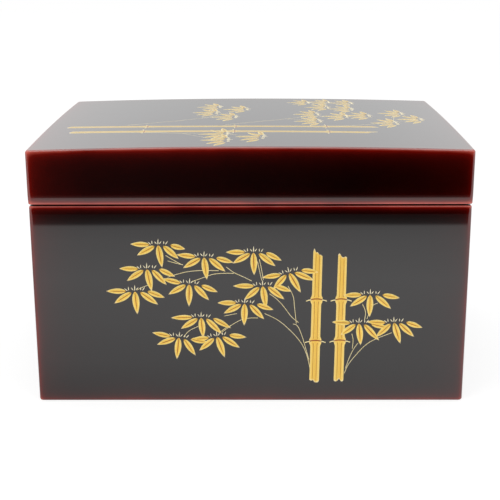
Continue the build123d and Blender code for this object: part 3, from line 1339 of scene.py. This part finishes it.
# The places below are in millimetres on the face, and each branch starts with its width. On the front,
# x runs right from the box's middle and y up from the ground. The bamboo stands upright there, and the
# sprays hang down.
FRONT_SPRAYS = (
    Spray(-45.6, 83.3, 0, (0, -5, 2, 1, 4), (1, 1, 1, 0.95, 0.86)),
    Spray(-23.0, 77.0, -2, (-2, -1, 2, 4, 5)),
    Spray(-51.5, 70.9, 1, (0, -1, 3, -6, -8)),
    Spray(-57.8, 59.3, 1, (1, -1, -3, 5, -3), size=1.04),
    Spray(-30.5, 63.0, -5, (-7, 1, -3, 1, 1)),
    Spray(-24.9, 45.3, -2, (6, 1, 1, -1, -9), (1.15, 1, 0.9, 1.05, 1.17)),
    Spray(-36.2, 34.7, -7, (-3, -6, -6, -7, 14)),
    Spray(-16.9, 35.1, 9, (0, -1, 3, 0, 3)),
    Spray(1.6, 79.4, 0, (2, -3, -5, 4, -8)),
    Spray(19.3, 68.8, 15, (-4, 1, 8, 5, -3)),
    Spray(6.1, 62.0, 2, (0, 6, 0, 2, -2), (1.12, 1, 1, 1, 1)),
    Spray(-2.9, 52.8, -3, (5, -2, -5, -1, 3)),
    Spray(59.9, 57.3, 1, (3, -1, -8, 1, 7)),
    Spray(54.6, 42.2, -1, (0, 5, 0, -4, 6), (1, 0.95, 1, 1.1, 1)),
    Spray(72.2, 42.6, 3, (-4, 8, 8, -3, -3)),
)
FRONT_CULMS = (
    Culm(
        (32.45, 9.9), 71.7, (22.6, 44.7), 2.6, lean=1.1,
        top=(
            (-1.0, 2.1), (-0.76, 0.0), (-0.4, 2.2), (-0.3, 2.25), (-0.05, 2.0), (0.28, 3.4),
            (0.45, 3.5), (0.6, 3.4), (1.0, 4.3),
        ),
        base=(
            (-1.0, 1.7), (-0.86, 1.3), (-0.56, 1.1), (-0.22, 1.5), (0.0, 0.4), (0.34, 0.0), (0.8, 0.2),
            (1.0, 1.2),
        ),
    ),
    Culm(
        (44.9, 10.5), 68.6, (22.2, 44.1), 2.6, lean=0.86, narrowing=0.12,
        top=((-1.0, 0.8), (-0.7, 0.0), (-0.3, 1.4), (-0.07, 2.2), (0.27, 2.3), (0.52, 1.8), (1.0, 2.3)),
        base=(
            (-1.0, 0.9), (-0.84, 0.2), (-0.59, 0.0), (-0.25, 0.35), (0.1, 1.7), (0.31, 0.7), (0.53, 0.0),
            (0.82, 0.0), (1.0, 0.8),
        ),
    ),
)
FRONT_BRANCHES = tuple(Line(places, width) for width, *places in (
    (0.32, (30.2, 18.4), (28.3, 25.9), (25.5, 31.8), (20.5, 37.9), (14.2, 43.6), (7.1, 47.4)),
    (0.3, (3.8, 45.0), (0.0, 45.0), (-4.7, 44.0), (-8.9, 41.6), (-14.2, 37.6)),
    (0.3, (-6.7, 47.4), (-13.1, 46.1)),
    (0.32, (29.6, 22.7), (28.0, 28.6), (26.0, 35.5), (23.7, 40.8), (21.4, 41.8)),
    (0.32, (24.2, 42.6), (20.6, 45.7), (16.7, 51.1), (13.1, 55.1), (9.6, 57.8)),
    (0.32, (23.1, 42.0), (22.1, 51.1), (21.4, 56.5), (18.8, 61.9)),
    (0.32, (4.5, 75.8), (5.5, 71.1), (6.5, 65.2)),
    (0.3, (3.6, 74.6), (4.6, 69.8), (5.7, 64.8)),
    (0.33, (0.7, 64.5), (-3.7, 66.8), (-8.1, 68.9), (-11.9, 71.8)),
    (0.33, (-8.2, 68.5), (-13.9, 68.5), (-19.0, 67.9), (-25.3, 65.6), (-29.2, 64.2)),
    (0.33, (-15.7, 69.9), (-20.2, 70.0), (-26.5, 69.9), (-31.6, 69.3), (-36.7, 68.0), (-41.2, 66.5)),
    (0.33, (-41.9, 77.8), (-37.8, 75.2), (-33.7, 72.9)),
    (0.3, (-41.0, 75.0), (-36.6, 73.7), (-33.4, 73.0)),
    (0.3, (-56.6, 59.9), (-54.1, 61.2), (-50.5, 62.6)),
    (0.3, (-33.9, 34.9), (-30.9, 38.2), (-26.3, 40.6)),
    (0.3, (-15.1, 37.6), (-12.2, 39.9), (-9.3, 41.3)),
    (0.32, (47.8, 15.1), (49.8, 20.0), (54.1, 25.9), (58.5, 30.7), (62.7, 33.4), (67.4, 35.5), (71.3, 37.1)),
    (0.31, (48.3, 17.8), (50.2, 23.7), (52.1, 28.0), (54.3, 31.5)),
    (0.3, (51.6, 28.6), (51.9, 33.4), (51.2, 36.5)),
    (0.33, (57.4, 43.9), (57.8, 48.2), (56.2, 52.3)),
    (0.3, (58.6, 44.4), (59.6, 47.6), (61.0, 51.3), (63.9, 52.9)),
))

# On the lid, x runs right and y back from the box's middle. The bamboo lies along the lid there, with
# its foot to the left, and the sprays hang to the left.
LID_SPRAYS = tuple(Spray(x, y, turn, size=size) for x, y, turn, size in (
    (-19.5, 43.5, 3, 1.12), (-20.5, 20.0, -4, 1.12), (-3.5, 33.0, 2, 1.12), (-9.5, 4.0, 0, 1.12),
    (33.5, 63.0, 0, 1.05), (46.0, 65.5, -3, 1.05), (44.0, 42.0, 2, 1.1), (59.5, 63.0, 3, 1.1),
    (57.5, 35.5, -2, 1.12), (36.5, 14.0, 3, 1.12), (52.5, 6.5, -4, 1.15), (65.2, 10.3, 0, 1.15),
    (36.5, -10.0, 4, 1.15), (85.0, 20.7, -2, 1.12), (77.8, -13.3, 2, 1.15), (93.3, 0.9, 2, 1.12),
    (-13.0, -49.5, -3, 1.15), (-12.0, -65.0, 0, 1.1), (5.5, -57.5, -6, 1.12),
))
LID_CULMS = (
    Culm(
        (-98.0, -23.0), 166.5, (43.0, 90.0, 138.0), 2.5, turn=-90, lean=4.0, bow=3.0, narrowing=0.2,
        top=((-1.0, 4.0), (0.0, 2.0), (1.0, 0.0)), base=((-1.0, 2.0), (0.0, 0.3), (0.6, 0.0), (1.0, 0.8)),
    ),
    Culm(
        (-94.5, -38.6), 160.5, (39.0, 86.0, 135.0), 2.8, turn=-90, lean=5.1, bow=1.3, narrowing=0.2,
        top=((-1.0, 0.5), (-0.5, 0.0), (0.2, 4.5), (1.0, 5.0)),
        base=((-1.0, 1.6), (0.0, 0.2), (0.5, 0.0), (1.0, 1.0)),
    ),
)
LID_BRANCHES = tuple(Line(places, width) for width, *places in (
    (0.3, (-66.0, -21.0), (-52.0, -14.6), (-38.6, -8.4), (-27.6, -1.0), (-19.6, 8.0), (-19.0, 19.0)),
    (0.28, (-27.6, -1.0), (-18.0, 2.6), (-10.0, 3.8)),
    (0.28, (-22.0, 6.0), (-12.0, 18.0), (-4.0, 32.6)),
    (0.28, (-20.2, 21.0), (-23.0, 32.0), (-20.0, 43.0)),
    (0.3, (-14.0, -24.0), (0.0, -15.4), (14.0, -8.0), (27.6, 2.6), (36.0, 13.6)),
    (0.28, (20.0, -4.0), (30.0, -7.0), (36.4, -9.6)),
    (0.28, (27.6, 2.6), (40.0, 5.0), (52.2, 6.4)),
    (0.28, (36.4, 14.0), (39.0, 28.0), (43.6, 41.8), (45.6, 65.0)),
    (0.28, (43.6, 41.8), (37.0, 54.0), (33.7, 62.8)),
    (0.28, (52.0, 7.0), (54.0, 22.0), (57.2, 35.3), (59.2, 62.5)),
    (0.28, (52.0, 6.6), (59.0, 9.4), (65.0, 10.2)),
    (0.3, (43.0, -26.6), (58.0, -22.4), (70.0, -16.6), (77.6, -13.2)),
    (0.28, (70.0, -16.6), (84.0, -6.0), (93.2, 0.7)),
    (0.28, (77.6, -13.0), (80.0, 6.0), (84.8, 20.4)),
    (0.3, (-56.0, -43.0), (-38.0, -47.0), (-24.0, -50.0), (-13.2, -49.5)),
    (0.28, (-34.0, -48.6), (-24.0, -58.0), (-12.4, -64.8)),
    (0.28, (-13.2, -49.5), (-4.0, -54.4), (5.2, -57.4)),
))


# ---- Studio ----


@dataclass(frozen=True)
class Camera:
    """The camera that sees the box as the photograph does."""

    place: Point3 = (3.29 * MM, -607.94 * MM, 229.54 * MM)
    focal_length: float = 79.478
    sensor_width: float = 36.0
    clip_start: float = 10.0 * MM
    pitch: float = -15.841  # degrees, downwards
    yaw: float = 0.371
    roll: float = -0.169

    def build(self) -> None:
        """Makes the camera, and makes it the scene's."""
        data = bpy.data.cameras.new("camera")
        data.lens, data.sensor_width, data.clip_start = self.focal_length, self.sensor_width, self.clip_start
        camera = new_object("camera", data)
        camera.matrix_world = Matrix.Translation(self.place)
        for degrees, axis in ((self.yaw, "Z"), (90 + self.pitch, "X"), (self.roll, "Z")):
            camera.matrix_world = camera.matrix_world @ Matrix.Rotation(math.radians(degrees), 4, axis)
        bpy.context.scene.camera = camera


@dataclass(frozen=True)
class Lamp:
    """A soft lamp: a square panel that faces the box."""

    name: str
    place: Point3
    size: float
    power: float

    def build(self) -> None:
        """Makes the lamp, which the lacquer doesn't mirror."""
        data = bpy.data.lights.new(self.name, "AREA")
        data.shape, data.size, data.energy = "SQUARE", self.size, self.power
        made = new_object(self.name, data)
        made.location = self.place
        made.rotation_euler = (-Vector(self.place)).to_track_quat("-Z", "Y").to_euler()
        made.visible_glossy = False


@dataclass(frozen=True)
class Studio:
    """A white sweep, soft lamps and a dark room behind the camera, which the lacquer mirrors."""

    floor_half_size: float = 3.0
    floor_start: float = -0.083  # the box's front, from which the floor's light is counted
    floor_reach: float = 0.5
    floor_half: float = 0.12  # from the middle to where the floor's light is that of the left or right
    # What the lacquer mirrors of the floor: a painted shadow darkens it near the box, more on the left, and
    # it is nearly black from 0.364 m out
    floor_light: tuple[Point3, ...] = (  # distance in front of the box, light to the left, to the right
        (0.0, 0.58, 0.86), (0.055, 0.80, 0.94), (0.12, 0.92, 1.00), (0.21, 1.00, 1.05), (0.31, 0.90, 0.92),
        (0.357, 0.78, 0.80), (0.364, 0.17, 0.17), (0.385, 0.08, 0.08), (0.42, 0.02, 0.0),
    )
    floor_glow: float = 1.10
    floor_grey: float = 0.8  # what the floor is to the box and the lamps
    floor_shaded: float = 0.36  # of what the camera sees, what takes the box's shadow
    floor_bright: float = 0.74  # and what shadows leave alone
    room: str = "#010101"
    room_half: float = 2.6
    room_place: float = -1.1
    room_levels: Pair = (-0.1, 0.95)  # from a little under the floor to above the box
    sky_low: float = 0.78  # the light that polished tops mirror, low over the floor
    sky_high: float = 1.10
    sky_aside: float = 1.25  # how much brighter it is to both sides
    sky_strip: float = 2.3  # of a strip light overhead, on top of that
    sky_light: float = 0.72
    lamps: tuple[Lamp, ...] = (
        Lamp("lamp_overhead", (-0.15, -0.25, 1.3), 1.0, 3.5),
        Lamp("lamp_left", (-1.1, -1.2, 0.45), 0.7, 7.0),
        Lamp("lamp_right", (1.2, -1.1, 0.4), 0.7, 6.0),
    )

    def build(self) -> None:
        """Makes the floor, the dark room, the world and the lamps."""
        self._floor()
        self._room()
        self._world()
        for lamp in self.lamps:
            lamp.build()
        bpy.context.scene.view_settings.view_transform = "Standard"

    def _floor(self) -> None:
        """Makes the floor. It is white to the camera, with the box's shadow. In the lacquer it glows white,
        with a painted shadow near the box, and nearly black far in front.
        """
        material, add = new_material("white_floor")
        half = self.floor_half_size
        corners = [(-half, -half, 0), (half, -half, 0), (half, half, 0), (-half, half, 0)]
        self._stage("floor", corners, material)
        rays = add("LightPath").outputs
        across, ahead, _ = add("SeparateXYZ", {0: add("TexCoord").outputs["Object"]}).outputs
        far = self.floor_start - self.floor_reach
        distance = add("MapRange", {"Value": ahead, "From Min": self.floor_start, "From Max": far})
        ramp = add("ValToRGB", {0: distance})
        stops = ramp.color_ramp.elements
        for index, (place, left, right) in enumerate(self.floor_light):
            stop = stops[index] if index < 2 else stops.new(1.0)  # a ramp starts with two
            stop.position = place / self.floor_reach
            stop.color = (left, right, 0, 1)
        left, right, _ = add("SeparateColor", {0: ramp}).outputs
        half = self.floor_half
        rightwards = add("MapRange", {"Value": across, "From Min": -half, "From Max": half})
        light = add("Mix", {"Factor": rightwards, "A": left, "B": right}, data_type="FLOAT")
        light = add("Math", {0: light, 1: self.floor_glow}, operation="MULTIPLY")
        greys = (self.floor_grey, self.floor_shaded)
        plain, shaded = (add("BsdfDiffuse", {"Color": (grey, grey, grey, 1)}) for grey in greys)
        white = linear("#FFFFFF")
        mirrored, bright = (
            add("Emission", {"Color": white, "Strength": strength}) for strength in (light, self.floor_bright)
        )
        seen = add("AddShader", {0: shaded, 1: bright})
        other = add("MixShader", {"Fac": rays["Is Glossy Ray"], 1: plain, 2: mirrored})
        shown = add("MixShader", {"Fac": rays["Is Camera Ray"], 1: other, 2: seen})
        add("OutputMaterial", {"Surface": shown})

    def _room(self) -> None:
        """Makes the dark room behind the camera, which only the lacquer sees."""
        material, add = new_material("dark_room")
        add("OutputMaterial", {"Surface": add("Emission", {"Color": linear(self.room), "Strength": 1.0})})
        half, (low, high) = self.room_half, self.room_levels
        square = ((-half, low), (half, low), (half, high), (-half, high))
        corners = [(x, self.room_place, z) for x, z in square]
        room = self._stage("dark_room", corners, material)
        for kind in ("camera", "diffuse", "shadow", "transmission"):
            setattr(room, f"visible_{kind}", False)

    def _stage(self, name: str, corners: list[Point3], material: Material) -> Object:
        """Makes a panel that isn't part of the box.

        Args:
            name: its name.
            corners: its four corners.
            material: its finish.

        Returns:
            The object.
        """
        panel = new_object(name, new_mesh(name, corners, faces=[(0, 1, 2, 3)]))
        panel.data.materials.append(material)
        return panel

    def _world(self) -> None:
        """Makes the world: white to the camera and to the lacquer, and a soft light for the rest."""
        world = bpy.data.worlds.new("studio")
        bpy.context.scene.world = world
        world.use_nodes = True
        world.node_tree.nodes.clear()
        add = partial(add_node, world.node_tree)
        rays = add("LightPath").outputs
        seen = add("Math", {0: rays["Is Camera Ray"], 1: rays["Is Transmission Ray"]}, operation="MAXIMUM")
        aside, _, rise = add("SeparateXYZ", {0: add("TexCoord").outputs["Generated"]}).outputs
        aside = add("Math", {0: aside, 1: aside}, operation="MULTIPLY")
        lights = []
        # What each light goes by, where it starts to change and where it stops, and its value at both
        for value, *ends in (
            (rise, 0.08, 0.24, self.sky_low, self.sky_high), (aside, 0.0, 0.06, 1.0, self.sky_aside),
            (rise, 0.92, 0.96, 0.0, self.sky_strip), (seen, 0.0, 1.0, self.sky_light, 1.0),
        ):
            inputs = dict(zip(("From Min", "From Max", "To Min", "To Max"), ends), Value=value)
            lights.append(add("MapRange", inputs))
        sky, sideways, strip, plain = lights
        mirrored = add("Math", {0: sky, 1: sideways, 2: strip}, operation="MULTIPLY_ADD")
        strength = add("Mix", {"Factor": rays["Is Glossy Ray"], "A": plain, "B": mirrored}, data_type="FLOAT")
        add("OutputWorld", {"Surface": add("Background", {"Color": linear("#FFFFFF"), "Strength": strength})})


# ---- Making it ----


def report(piece: Object) -> None:
    """Logs a piece's size, and warns if its faces point inwards.

    Args:
        piece: the piece.
    """
    mesh = piece.data
    mesh.calc_loop_triangles()
    volume = 0.0
    for triangle in mesh.loop_triangles:
        one, two, three = (mesh.vertices[index].co for index in triangle.vertices)
        volume += one.dot(two.cross(three)) / 6
    log.info("%s: %d triangles, %.3f cm3", piece.name, len(mesh.loop_triangles), volume * 1e6)
    if volume < 0:
        log.warning("%s is inside out", piece.name)


def main() -> None:
    """Builds the studio, the lacquered pieces and the gold bamboo."""
    logging.basicConfig(level=logging.INFO, format="%(name)s: %(message)s")
    Camera().build()
    Studio().build()

    body_lacquer = TamenuriLacquer(
        ends=Glow(0.35, 0.8 * MM, 0.045, 8.0 * MM), sides=Glow(0.20, 0.8 * MM, 0.05, 8.0 * MM),
        top=Glow(0.58, 0.52 * MM, 0.04, 1.8 * MM), foot=Glow(0.12, 0.9 * MM, 0.07, 4.0 * MM),
        lean=0.25, haze=0.003,
    )
    black = BlackLacquer().material("black_lacquer_inside")
    tray_black = BlackLacquer(roughness=0.07).material("black_lacquer_tray")
    body, lid = LacqueredBody(), LacqueredLid()
    pieces = [*body.build(body_lacquer, black), lid.build(TamenuriLacquer(), black)]
    pieces.append(HangingTray().build(tray_black))

    # The lid's gold is a darker copy of the front's: painted shade against the stronger light on the top
    pale_gold = SprinkledGold("pale_sprinkled_gold", gold="#D2B242", deep="#BE9238", pale="#DECC8A")
    for grove in (
        BambooGrove(
            "front", "box_body", body.on_front, 0.0, FRONT_SPRAYS, FRONT_CULMS, FRONT_BRANCHES,
            SprinkledGold(),
        ),
        BambooGrove(
            "lid", "lid", lid.on_top, -90.0, LID_SPRAYS, LID_CULMS, LID_BRANCHES, pale_gold, seed=11,
            gather=16.0, leaf_relief=0.11, culm_relief=0.04, line_flatness=0.3,
        ),
    ):
        pieces += grove.build()
    for piece in pieces:
        report(piece)


if __name__ == "__main__":
    main()
